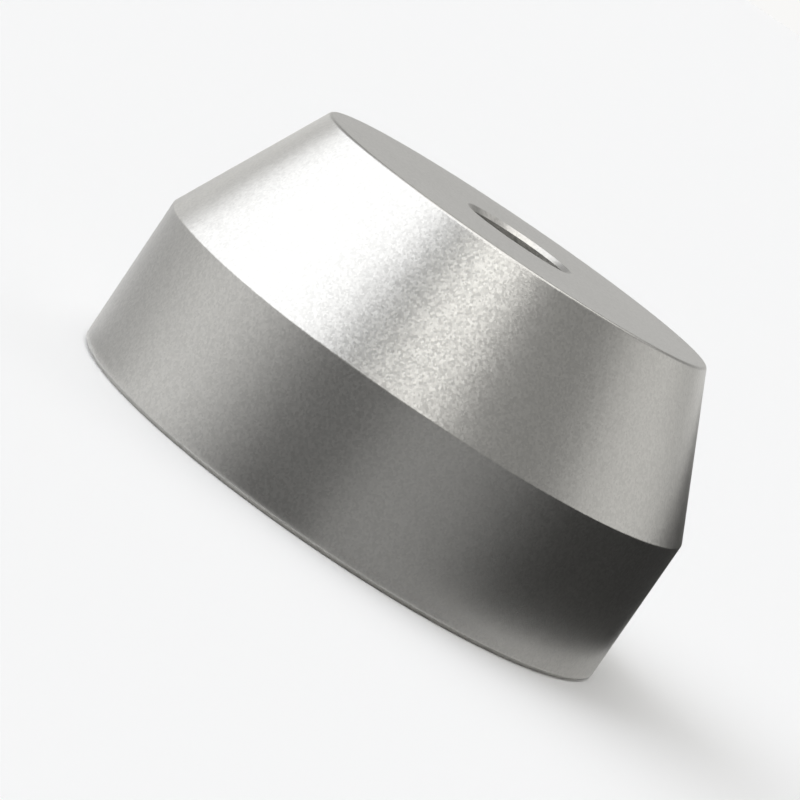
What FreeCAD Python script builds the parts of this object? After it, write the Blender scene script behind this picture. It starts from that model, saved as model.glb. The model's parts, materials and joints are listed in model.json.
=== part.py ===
# Record spindle adapter, in one piece.
# It is turned on a lathe from aluminium bar: a cylindrical land that fits a large centre hole, a cone above
# it that leads the hole down to the land and gives the fingers a hold, and a bore for the spindle.
# Millimetres. The origin is the centre of the base, +Z is the turning axis, and the base lies on Z = 0.
import FreeCAD, Part
import Sketcher
import os

PARTS_FOLDER = "parts"
SHEET = "Dimensions"
EDGE_TOLERANCE = 1e-4
VOLUME_TOLERANCE = 1e-3
COUNTERSINK_ANGLE = 90
FULL_TURN = 360

# Driving dimensions: alias, millimetres, what it measures.
DIMENSIONS = (
    ("land_diameter", 38.0, "land, a slip fit in a centre hole of 38.2 mm"),
    ("land_height", 10.0, "base to shoulder, where the cone starts"),
    ("cone_height", 10.0, "shoulder to top face"),
    ("top_diameter", 28.0, "top face, out to the sharp rim"),
    ("bore_diameter", 7.25, "bore, a running fit on a 7.15 mm spindle"),
    ("base_chamfer", 0.3, "edge break round the foot of the land"),
    ("shoulder_radius", 0.25, "rounding between land and cone"),
    ("rim_radius", 0.3, "rounding between cone and top face"),
    ("mouth_chamfer", 0.3, "edge break at the bore's upper mouth"),
    ("lead_in", 0.5, "countersink at the bore's lower mouth, where the spindle enters"),
)


def make_sheet(doc):
    """The spreadsheet that every feature takes its sizes from."""
    sheet = doc.addObject("Spreadsheet::Sheet", SHEET)
    for row, (alias, value, meaning) in enumerate(DIMENSIONS, start=1):
        sheet.set(f"A{row}", alias)
        sheet.set(f"B{row}", str(value))
        sheet.set(f"C{row}", meaning)
        sheet.setAlias(f"B{row}", alias)
    doc.recompute()
    return sheet


def origin_plane(body, role):
    """One of the body's own origin planes, such as XZ_Plane."""
    return next(feature for feature in body.Origin.OriginFeatures if feature.Role == role)


def new_sketch(body, name, role):
    """An empty sketch on one of the body's origin planes."""
    sketch = body.newObject("Sketcher::SketchObject", name)
    sketch.AttachmentSupport = [(origin_plane(body, role), "")]
    sketch.MapMode = "FlatFace"
    return sketch


def bind_constraint(sketch, name, constraint, expression):
    """Adds a named driving dimension to the sketch and ties it to the spreadsheet."""
    index = sketch.addConstraint(constraint)
    sketch.renameConstraint(index, name)
    sketch.setExpression(f"Constraints.{name}", expression)


def draw_half_section(body, sheet):
    """Half section of the turned blank: base, land, cone, top face, and back down the axis."""
    land_radius = sheet.land_diameter / 2
    top_radius = sheet.top_diameter / 2
    top_height = sheet.land_height + sheet.cone_height
    corners = [
        FreeCAD.Vector(0, 0, 0),
        FreeCAD.Vector(land_radius, 0, 0),
        FreeCAD.Vector(land_radius, sheet.land_height, 0),
        FreeCAD.Vector(top_radius, top_height, 0),
        FreeCAD.Vector(0, top_height, 0),
    ]
    sketch = new_sketch(body, "HalfSection", "XZ_Plane")
    sides = [
        sketch.addGeometry(Part.LineSegment(corner, following), False)
        for corner, following in zip(corners, corners[1:] + corners[:1])
    ]
    base, land, cone, top, axis = sides
    for side, following in zip(sides, sides[1:] + sides[:1]):
        sketch.addConstraint(Sketcher.Constraint("Coincident", side, 2, following, 1))
    sketch.addConstraint(Sketcher.Constraint("Coincident", base, 1, -1, 1))
    for level in (base, top):
        sketch.addConstraint(Sketcher.Constraint("Horizontal", level))
    for upright in (land, axis):
        sketch.addConstraint(Sketcher.Constraint("Vertical", upright))
    bind_constraint(
        sketch,
        "land_radius",
        Sketcher.Constraint("DistanceX", base, 1, base, 2, land_radius),
        f"{SHEET}.land_diameter / 2",
    )
    bind_constraint(
        sketch,
        "land_height",
        Sketcher.Constraint("DistanceY", land, 1, land, 2, sheet.land_height),
        f"{SHEET}.land_height",
    )
    bind_constraint(
        sketch,
        "cone_height",
        Sketcher.Constraint("DistanceY", cone, 1, cone, 2, sheet.cone_height),
        f"{SHEET}.cone_height",
    )
    bind_constraint(
        sketch,
        "top_radius",
        Sketcher.Constraint("DistanceX", top, 2, top, 1, top_radius),
        f"{SHEET}.top_diameter / 2",
    )
    return sketch


def turn_blank(body, sheet):
    """The solid blank: the half section turned once round the axis."""
    section = draw_half_section(body, sheet)
    blank = body.newObject("PartDesign::Revolution", "TurnedBlank")
    blank.Profile = section
    blank.ReferenceAxis = (section, ["V_Axis"])
    blank.Angle = FULL_TURN
    body.Document.recompute()
    return blank


def drill_bore(body, sheet):
    """The spindle's bore, drilled right through from the base and countersunk there as a lead-in."""
    centre = new_sketch(body, "BoreCentre", "XY_Plane")
    bore_radius = sheet.bore_diameter / 2
    upward = FreeCAD.Vector(0, 0, 1)
    circle = centre.addGeometry(Part.Circle(FreeCAD.Vector(0, 0, 0), upward, bore_radius), False)
    centre.addConstraint(Sketcher.Constraint("Coincident", circle, 3, -1, 1))
    bind_constraint(
        centre,
        "bore_radius",
        Sketcher.Constraint("Radius", circle, bore_radius),
        f"{SHEET}.bore_diameter / 2",
    )
    body.Document.recompute()
    bore = body.newObject("PartDesign::Hole", "SpindleBore")
    bore.Profile = centre
    bore.Reversed = True
    bore.ThreadType = "None"
    bore.DepthType = "ThroughAll"
    bore.DrillPoint = "Flat"
    bore.setExpression("Diameter", f"{SHEET}.bore_diameter")
    bore.HoleCutType = "Countersink"
    bore.HoleCutCustomValues = True
    bore.HoleCutCountersinkAngle = COUNTERSINK_ANGLE
    bore.setExpression("HoleCutDiameter", f"{SHEET}.bore_diameter + 2 * {SHEET}.lead_in")
    body.Document.recompute()
    return bore


def ring_edge(feature, radius, height):
    """The name of the feature's circular edge with that radius at that height."""
    for number, edge in enumerate(feature.Shape.Edges, start=1):
        curve = edge.Curve
        if not isinstance(curve, Part.Circle):
            continue
        same_radius = abs(curve.Radius - radius) < EDGE_TOLERANCE
        same_height = abs(curve.Center.z - height) < EDGE_TOLERANCE
        if same_radius and same_height:
            return f"Edge{number}"
    raise RuntimeError(f"{feature.Label} has no ring of radius {radius} at height {height}")


def break_edge(body, kind, name, size, radius, height):
    """Rounds or chamfers one ring of the body by the size that the spreadsheet names."""
    before = body.Tip
    edge = ring_edge(before, radius, height)
    feature = body.newObject(f"PartDesign::{kind}", name)
    feature.Base = (before, [edge])
    feature.setExpression("Radius" if kind == "Fillet" else "Size", f"{SHEET}.{size}")
    body.Document.recompute()
    return feature


def finish_edges(body, sheet):
    """The small edge breaks of the finished piece: foot, shoulder, rim and the bore's upper mouth."""
    land_radius = sheet.land_diameter / 2
    top_height = sheet.land_height + sheet.cone_height
    break_edge(body, "Chamfer", "FootChamfer", "base_chamfer", land_radius, 0)
    break_edge(body, "Fillet", "ShoulderRound", "shoulder_radius", land_radius, sheet.land_height)
    break_edge(body, "Fillet", "RimRound", "rim_radius", sheet.top_diameter / 2, top_height)
    break_edge(body, "Chamfer", "MouthChamfer", "mouth_chamfer", sheet.bore_diameter / 2, top_height)


def bored_volume(blank, bore):
    """How much the bore took out of the blank."""
    return blank.Shape.Volume - bore.Shape.Volume


def expected_bore_volume(sheet):
    """A cylinder of the bore's size through the full height, and the ring that the countersink adds."""
    radius = sheet.bore_diameter / 2
    mouth = radius + sheet.lead_in
    cylinder = Part.makeCylinder(radius, sheet.land_height + sheet.cone_height)
    countersink = Part.makeCone(mouth, radius, sheet.lead_in)
    return cylinder.fuse(countersink).Volume


def check_document(doc):
    """Stops the build if any feature failed."""
    for item in doc.Objects:
        if "Invalid" in item.State or "Error" in item.State:
            raise RuntimeError(f"{item.Label} failed: {item.State}")


def check_solid(body):
    """Stops the build unless the body is one valid closed solid."""
    shape = body.Shape
    if shape.isNull() or not shape.isValid() or len(shape.Solids) != 1:
        raise RuntimeError(f"{body.Label} is not one valid solid")


def write_part(body):
    """Writes the body to a STEP file named by its label."""
    os.makedirs(PARTS_FOLDER, exist_ok=True)
    body.Shape.exportStep(os.path.join(PARTS_FOLDER, f"{body.Label}.step"))


doc = FreeCAD.newDocument("RecordSpindleAdapter")
sheet = make_sheet(doc)
adapter = doc.addObject("PartDesign::Body", "AdapterBody")
adapter.Label = "adapter_body"
blank = turn_blank(adapter, sheet)
bore = drill_bore(adapter, sheet)
if abs(bored_volume(blank, bore) - expected_bore_volume(sheet)) > VOLUME_TOLERANCE:
    raise RuntimeError("the bore doesn't go through the blank")
finish_edges(adapter, sheet)
doc.recompute()
check_document(doc)
check_solid(adapter)
write_part(adapter)
print(f"{adapter.Label}: {adapter.Shape.Volume:.1f} mm3, {len(adapter.Shape.Faces)} faces")
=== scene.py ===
import json
import math
import bpy
import numpy as np
from mathutils import Matrix, Vector


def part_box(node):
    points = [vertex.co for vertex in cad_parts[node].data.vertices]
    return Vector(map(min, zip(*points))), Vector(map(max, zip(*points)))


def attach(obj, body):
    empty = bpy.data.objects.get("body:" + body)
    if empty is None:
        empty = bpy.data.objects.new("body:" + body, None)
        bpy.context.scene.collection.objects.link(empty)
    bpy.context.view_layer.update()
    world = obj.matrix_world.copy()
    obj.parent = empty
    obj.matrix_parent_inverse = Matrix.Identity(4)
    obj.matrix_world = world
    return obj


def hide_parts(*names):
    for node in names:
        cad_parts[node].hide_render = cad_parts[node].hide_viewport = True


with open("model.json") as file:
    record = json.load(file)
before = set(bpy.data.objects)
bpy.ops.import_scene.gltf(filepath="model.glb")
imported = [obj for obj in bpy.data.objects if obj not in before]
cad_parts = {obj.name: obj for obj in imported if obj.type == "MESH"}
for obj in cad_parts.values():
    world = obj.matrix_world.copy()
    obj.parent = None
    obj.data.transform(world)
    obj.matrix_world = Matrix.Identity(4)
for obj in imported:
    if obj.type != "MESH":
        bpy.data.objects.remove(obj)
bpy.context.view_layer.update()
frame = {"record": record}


# Adapter body: one solid piece of aluminium bar, with a straight land that fits a large centre hole, a cone
# that leads the hole down to the land, and a bore for the spindle. It is turned on a lathe, its edges are
# broken, and the whole piece is blasted with fine beads and clear anodised to an even satin.

millimetres_per_metre = 1000
mounts = {mount["name"]: mount["dims"] for mount in frame["record"]["mounts"]}
body_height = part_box("adapter_body")[1].z
bore_radius = mounts["spindle_bore"]["r_mm"] / millimetres_per_metre
land_radius = mounts["record_seat"]["r_mm"] / millimetres_per_metre
land_height = 0.0100
top_radius = 0.0140
lead_in = 0.0005
base_chamfer = 0.0003
shoulder_radius = 0.00025
rim_radius = 0.0003
mouth_chamfer = 0.0003
turning_steps = 360
chamfer_facets, round_facets = 1, 12
crease_angle = math.radians(20)


def unit(vectors):
    """Each vector divided by its own length."""
    return vectors / np.linalg.norm(vectors, axis=-1, keepdims=True)


def broken_corner(before, corner, after, radius, facets):
    """Arc that touches both sides of a corner: it starts and ends at radius * tan(turn / 2) from the
    corner, and its centre lies on the corner's bisector. One facet across a right angle is a chamfer."""
    inward, outward = unit(before - corner), unit(after - corner)
    half_turn = (math.pi - math.acos(inward @ outward)) / 2
    centre = corner + unit(inward + outward) * radius / math.cos(half_turn)
    start = corner + inward * radius * math.tan(half_turn) - centre
    across = np.array([-start[1], start[0]])
    angle = np.linspace(0, 2 * half_turn, facets + 1)[:, None]
    return centre + start * np.cos(angle) + across * np.sin(angle)


def side_normals(outline):
    """Normals at the start and the end of each side of a closed outline. A side's own normal is its
    direction turned right; where two sides meet smoothly, both take the mean, weighted by length."""
    sides = np.roll(outline, -1, axis=0) - outline
    weighted = np.column_stack([sides[:, 1], -sides[:, 0]])
    normals = unit(weighted)
    earlier = np.roll(normals, 1, axis=0)
    smooth = np.sum(normals * earlier, axis=1) > math.cos(crease_angle)
    mean = unit(weighted + np.roll(weighted, 1, axis=0))
    at_start = np.where(smooth[:, None], mean, normals)
    at_end = np.where(np.roll(smooth, -1)[:, None], np.roll(mean, -1, axis=0), normals)
    return at_start, at_end


def carried_round(radius, height, angles):
    """Points (r cos a, r sin a, z): every radius r and height z, carried to every angle a."""
    coordinates = np.broadcast_arrays(radius * np.cos(angles), radius * np.sin(angles), height)
    return np.stack(coordinates, axis=-1)


def turned_mesh(name, outline, steps):
    """Closed surface of revolution: the outline's points carried round the axis in equal steps, joined
    by quads that face away from the metal, with normals taken from the outline's own."""
    angles = np.arange(steps) * 2 * math.pi / steps
    points = carried_round(outline[:, :1], outline[:, 1:], angles)
    index = np.arange(len(outline) * steps).reshape(len(outline), steps)
    above, beside = np.roll(index, -1, axis=0), np.roll(index, -1, axis=1)
    quads = np.stack([index, beside, np.roll(above, -1, axis=1), above], axis=-1).reshape(-1, 4)
    lower, upper = (
        carried_round(normals[:, :1], normals[:, 1:], angles) for normals in side_normals(outline)
    )
    corners = [lower, np.roll(lower, -1, axis=1), np.roll(upper, -1, axis=1), upper]
    mesh = bpy.data.meshes.new(name)
    mesh.from_pydata(points.reshape(-1, 3), [], quads)
    mesh.shade_smooth()
    mesh.normals_split_custom_set(np.stack(corners, axis=2).reshape(-1, 3))
    return mesh


section_corners = np.array(
    [
        (bore_radius, 0),
        (land_radius, 0),
        (land_radius, land_height),
        (top_radius, body_height),
        (bore_radius, body_height),
    ]
)
edge_breaks = (lead_in, base_chamfer, shoulder_radius, rim_radius, mouth_chamfer)
edge_facets = (chamfer_facets, chamfer_facets, round_facets, round_facets, chamfer_facets)
section_outline = np.vstack(
    [
        broken_corner(*sides, radius, facets)
        for *sides, radius, facets in zip(
            np.roll(section_corners, 1, axis=0),
            section_corners,
            np.roll(section_corners, -1, axis=0),
            edge_breaks,
            edge_facets,
        )
    ]
)


class Signal:
    """A socket of a node tree. Arithmetic on signals adds Math nodes, and node() adds any other node."""

    def __init__(self, tree, socket=None):
        self.tree = tree
        self.socket = socket

    def node(self, kind, settings=None, inputs=None, output=0):
        """Adds a node: its settings first, then a value or a link for each input. Gives one output."""
        node = self.tree.nodes.new(kind)
        for name, value in (settings or {}).items():
            setattr(node, name, value)
        for name, value in (inputs or {}).items():
            if isinstance(value, Signal):
                self.tree.links.new(value.socket, node.inputs[name])
            else:
                node.inputs[name].default_value = value
        return Signal(self.tree, node.outputs[output] if node.outputs else None)

    def math(self, operation, *values):
        """Adds a Math node that does the operation on the values, in their order."""
        return self.node("ShaderNodeMath", {"operation": operation}, dict(enumerate(values)))

    def between(self, start, end):
        """0 at start and 1 at end, eased at both."""
        limits = {"Value": self, "From Min": start, "From Max": end}
        return self.node("ShaderNodeMapRange", {"interpolation_type": "SMOOTHSTEP"}, limits)

    def colour(self, first, second):
        """The first colour where the signal is 0, the second where it is 1, and a mix of both between."""
        factor, first_colour, second_colour, mixed_colour = 0, 6, 7, 2
        inputs = {factor: self, first_colour: first, second_colour: second}
        return self.node("ShaderNodeMix", {"data_type": "RGBA"}, inputs, mixed_colour)

    def __add__(self, other):
        return self.math("ADD", self, other)

    def __radd__(self, other):
        return self.math("ADD", other, self)

    def __sub__(self, other):
        return self.math("SUBTRACT", self, other)

    def __rsub__(self, other):
        return self.math("SUBTRACT", other, self)

    def __mul__(self, other):
        return self.math("MULTIPLY", self, other)

    def __rmul__(self, other):
        return self.math("MULTIPLY", other, self)

    def __truediv__(self, other):
        return self.math("DIVIDE", self, other)

    def __rtruediv__(self, other):
        return self.math("DIVIDE", other, self)


def empty_tree(owner):
    """The emptied node tree of a new material or world, ready for its nodes."""
    owner.use_nodes = True
    owner.node_tree.nodes.clear()
    return Signal(owner.node_tree)


def satin_aluminium():
    """Bead-blasted, clear anodised aluminium. Each bead leaves a tiny facet that leans its own way, so the
    reflections break up into a fine sparkle. The tone differs a little from facet to facet, and the gloss
    drifts over a few millimetres."""
    facets_per_metre, facet_lean = 7200, 0.037
    drift_scale, drift_detail = 170, 3.0
    dark_tone = (0.563, 0.555, 0.531, 1)
    light_tone = (0.655, 0.645, 0.617, 1)
    roughness, roughness_drift = 0.322, 0.06
    middle = 0.5

    material = bpy.data.materials.new("satin_aluminium")
    metal = empty_tree(material)
    place = metal.node("ShaderNodeTexCoord", output="Object")
    normal = metal.node("ShaderNodeNewGeometry", output="Normal")
    facets = metal.node("ShaderNodeTexVoronoi", {}, {"Vector": place, "Scale": facets_per_metre}, "Color")
    centred = metal.node(
        "ShaderNodeVectorMath", {"operation": "SUBTRACT"}, {0: facets, 1: (middle, middle, middle)}
    )
    leaning = metal.node(
        "ShaderNodeVectorMath",
        {"operation": "MULTIPLY_ADD"},
        {0: centred, 1: (facet_lean, facet_lean, facet_lean), 2: normal},
    )
    leaning = metal.node("ShaderNodeVectorMath", {"operation": "NORMALIZE"}, {0: leaning})
    facet_tone = metal.node("ShaderNodeSeparateXYZ", {}, {"Vector": facets}, "Z")
    drift = metal.node(
        "ShaderNodeTexNoise", {}, {"Vector": place, "Scale": drift_scale, "Detail": drift_detail}, "Fac"
    )
    shader = metal.node(
        "ShaderNodeBsdfPrincipled",
        {},
        {
            "Base Color": facet_tone.colour(dark_tone, light_tone),
            "Metallic": 1.0,
            "Roughness": roughness + roughness_drift * (drift - middle),
            "Normal": leaning,
        },
    )
    metal.node("ShaderNodeOutputMaterial", {}, {"Surface": shader})
    return material


adapter = bpy.data.objects.new("adapter", turned_mesh("adapter", section_outline, turning_steps))
bpy.context.scene.collection.objects.link(adapter)
adapter.data.materials.append(satin_aluminium())
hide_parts("adapter_body")
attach(adapter, "root")


# Floor: a plain sheet of matt white board that the adapter stands on. It lies flat and is cut round, so wide
# that its edge is at the horizon.

floor_radius = 20.0
floor_steps = 96
floor_white = (0.96, 0.96, 0.96, 1)


def matt_surface(board, colour):
    """Gives a material an even matt surface of that colour, with no gloss."""
    shader = board.node(
        "ShaderNodeBsdfPrincipled", {}, {"Base Color": colour, "Roughness": 1.0, "Specular IOR Level": 0.0}
    )
    board.node("ShaderNodeOutputMaterial", {}, {"Surface": shader})


def white_board():
    """Plain matt board, the same white all over."""
    material = bpy.data.materials.new("white_board")
    matt_surface(empty_tree(material), floor_white)
    return material


def stage_sheet(name, radius, height, angles, material):
    """Sheet of the stage: a section's radii and heights carried round the axis through the given angles and
    joined by quads."""
    points = carried_round(radius, height, angles)
    index = np.arange(points.shape[0] * points.shape[1]).reshape(points.shape[:2])
    quads = np.stack([index[:-1, :-1], index[1:, :-1], index[1:, 1:], index[:-1, 1:]], axis=-1)
    mesh = bpy.data.meshes.new(name)
    mesh.from_pydata(points.reshape(-1, 3), [], quads.reshape(-1, 4))
    mesh.materials.append(material)
    sheet = bpy.data.objects.new(name, mesh)
    bpy.context.scene.collection.objects.link(sheet)
    return sheet


stage_sheet(
    "floor",
    np.array([[0.0], [floor_radius]]),
    np.array([[0.0], [0.0]]),
    np.linspace(0, 2 * math.pi, floor_steps + 1),
    white_board(),
)


# Reflection card: a ring of matt card that lies round the adapter, bent up at its far edge, which comes
# nearer behind on the right. It is graded from pale on the left to black on the right, with a pale border
# at the foot there. It is there for the metal alone: only glossy rays see it.

card_lift = 0.0002
card_steps = 180
card_inner = 0.0196
card_reach, near_reach = 0.150, 0.0515
low_edge, card_edge, black_edge, near_edge = 0.008, 0.0225, 0.034, 0.019
edge_sinks, edge_returns = (-170, -140), (-60, -30)
edge_rises, wall_nears, wall_returns = (16, 56), (85, 110), (165, 180)
front_angle = -math.pi / 2


def bearing_of(direction):
    """Degrees round the axis from the front, positive to the right."""
    east, north = (
        direction.node("ShaderNodeSeparateXYZ", {}, {"Vector": direction}, axis) for axis in ("X", "Y")
    )
    return direction.math("DEGREES", direction.math("ARCTAN2", east, 0 - north))


def graded_card():
    """Matt card that eases from tone to tone, each time between two bearings. Bearings widen towards the
    adapter, by 1 / (1 - land's radius / twice the distance), so that the land throws each grade back as an
    upright stripe. The border has its own bearings, and fades with the distance from the axis."""
    far, pale, white, dark, grey, black = 0.86, 0.55, 0.89, 0.164, 0.37, 0.026
    into_pale, into_white, into_dark = (-174, -146), (-130, -86), (-86, -26)
    into_grey, into_black, into_far = (-12.5, 7.5), (15.5, 82), (174, 192)
    border_tone, border_fades = 0.81, (0.0238, 0.0279)
    border_starts, border_ends = (5, 54), (140, 180)

    material = bpy.data.materials.new("graded_card")
    board = empty_tree(material)
    place = board.node("ShaderNodeTexCoord", output="Object")
    distance = board.node("ShaderNodeVectorMath", {"operation": "LENGTH"}, {0: place}, "Value")
    bearing = bearing_of(place)
    fanned = bearing / (1 - land_radius / 2 / distance)
    tone = far
    for grade, next_tone in (
        (into_pale, pale),
        (into_white, white),
        (into_dark, dark),
        (into_grey, grey),
        (into_black, black),
        (into_far, far),
    ):
        tone = tone + (next_tone - tone) * fanned.between(*grade)
    beside = bearing.between(*border_starts) * (1 - bearing.between(*border_ends))
    border = beside * (1 - distance.between(*border_fades))
    matt_surface(board, tone + (border_tone - tone) * border)
    return material


bearings = np.linspace(-180, 180, card_steps + 1)
inner_edge = np.full_like(bearings, card_inner)
outer_edge = np.interp(
    bearings, wall_nears + wall_returns, (card_reach, near_reach, near_reach, card_reach)
)
lower_edge = np.full_like(bearings, card_lift)
upper_edge = np.interp(
    bearings,
    edge_sinks + edge_returns + edge_rises + wall_nears + wall_returns,
    (card_edge, low_edge, low_edge, card_edge)
    + (card_edge, black_edge, black_edge, near_edge, near_edge, card_edge),
)
card = stage_sheet(
    "graded_card",
    np.stack([inner_edge, outer_edge, outer_edge]),
    np.stack([lower_edge, lower_edge, upper_edge]),
    front_angle + np.radians(bearings),
    graded_card(),
)
card.visible_camera = False
card.visible_diffuse = False
card.visible_transmission = False
card.visible_shadow = False


# Studio light: a tall, slightly cool softbox on the left with a dark flag beside it, a small one above the
# camera, one high up behind and a weak fill on the right. They stand in a dim, slightly warm room with a
# light ceiling, a pale backdrop and a white foot all round the floor.

ambient = 0.285
warm_light, cool_light = (1.005, 1.0, 0.985, 1), (0.985, 1.0, 1.035, 1)
ceiling = {"level": 1.45, "start": 66, "full": 76}
left_box = {
    "level": 1.59,
    "across": (-144.3, -52.7),
    "upward": (13, 70),
    "blur": 2.5,
    "lean": (0.5, 0.285),
}
dark_flag = {
    "level": -0.27,
    "across": (-52.7, -25),
    "upward": (20, 68),
    "blur": 4,
    "lean": (0.285, 0.285),
}
front_box = {"level": 3.2, "across": (-25.8, 16.7), "upward": (48, 63.4), "blur": 3.5}
right_fill = {"level": 0.54, "across": (78, 132), "upward": (4, 36), "blur": 10}
rear_box = {"level": 0.77, "side": (98, 130), "upward": (46, 71), "blur": 5}
backdrop = {"level": 0.385, "side": (122, 152), "top": (12, 24)}
white_foot = {"level": 0.94, "top": (3, 8)}

world = bpy.data.worlds.new("studio")
bpy.context.scene.world = world
sky = empty_tree(world)
direction = sky.node("ShaderNodeTexCoord", output="Generated")
rise = sky.node("ShaderNodeSeparateXYZ", {}, {"Vector": direction}, "Z")
bearing = bearing_of(direction)
turned_away = sky.math("ABSOLUTE", bearing)
elevation = sky.math("DEGREES", sky.math("ARCSINE", rise))


def window(value, start, end, blur):
    """1 between start and end, 0 outside, with eased edges."""
    return value.between(start - blur, start + blur) * (1 - value.between(end - blur, end + blur))


def softbox(level, across, upward, blur, lean=(0, 0)):
    """Light from a soft-edged patch of bearings and elevations. Each side leans to the right as it rises, by
    its own lean times the elevation. A level below 0 takes light away."""
    left, right = (bearing - side_lean * elevation - side for side, side_lean in zip(across, lean))
    inside = left.between(-blur, blur) * (1 - right.between(-blur, blur))
    return level * inside * window(elevation, *upward, blur)


left_light = softbox(**left_box)
rear_height = window(elevation, *rear_box["upward"], rear_box["blur"])
rear_light = rear_box["level"] * turned_away.between(*rear_box["side"]) * rear_height
backdrop_height = 1 - elevation.between(*backdrop["top"])
backdrop_light = backdrop["level"] * turned_away.between(*backdrop["side"]) * backdrop_height
room = (
    ambient
    + ceiling["level"] * elevation.between(ceiling["start"], ceiling["full"])
    + left_light
    + softbox(**dark_flag)
    + softbox(**front_box)
    + softbox(**right_fill)
    + rear_light
    + backdrop_light
)
light = room + (white_foot["level"] - room) * (1 - elevation.between(*white_foot["top"]))
tint = (left_light / left_box["level"]).colour(warm_light, cool_light)
background = sky.node("ShaderNodeBackground", {}, {"Color": tint, "Strength": light})
sky.node("ShaderNodeOutputWorld", {}, {"Surface": background})


# Camera: a long lens a quarter of a metre away, seven degrees above the middle of the adapter. It is rolled
# by 34 degrees, so that the upright adapter stands tipped in the picture.

camera_distance = 0.250
camera_elevation = math.radians(6.99)
camera_roll = math.radians(34.23)
aim = Vector((-0.0005, 0.0, 0.0075))
focal_pixels = 4025.4
picture_pixels = 800

camera_data = bpy.data.cameras.new("camera")
camera_data.lens = camera_data.sensor_width * focal_pixels / picture_pixels
camera = bpy.data.objects.new("camera", camera_data)
bpy.context.scene.collection.objects.link(camera)
body_centre = Vector((0.0, 0.0, body_height / 2))
toward_camera = Vector((0.0, -math.cos(camera_elevation), math.sin(camera_elevation)))
camera.location = body_centre + camera_distance * toward_camera
upright = (aim - camera.location).to_track_quat("-Z", "Y").to_matrix()
camera.rotation_euler = (upright @ Matrix.Rotation(camera_roll, 3, "Z")).to_euler()
bpy.context.scene.camera = camera

bpy.context.scene.view_settings.view_transform = "Standard"
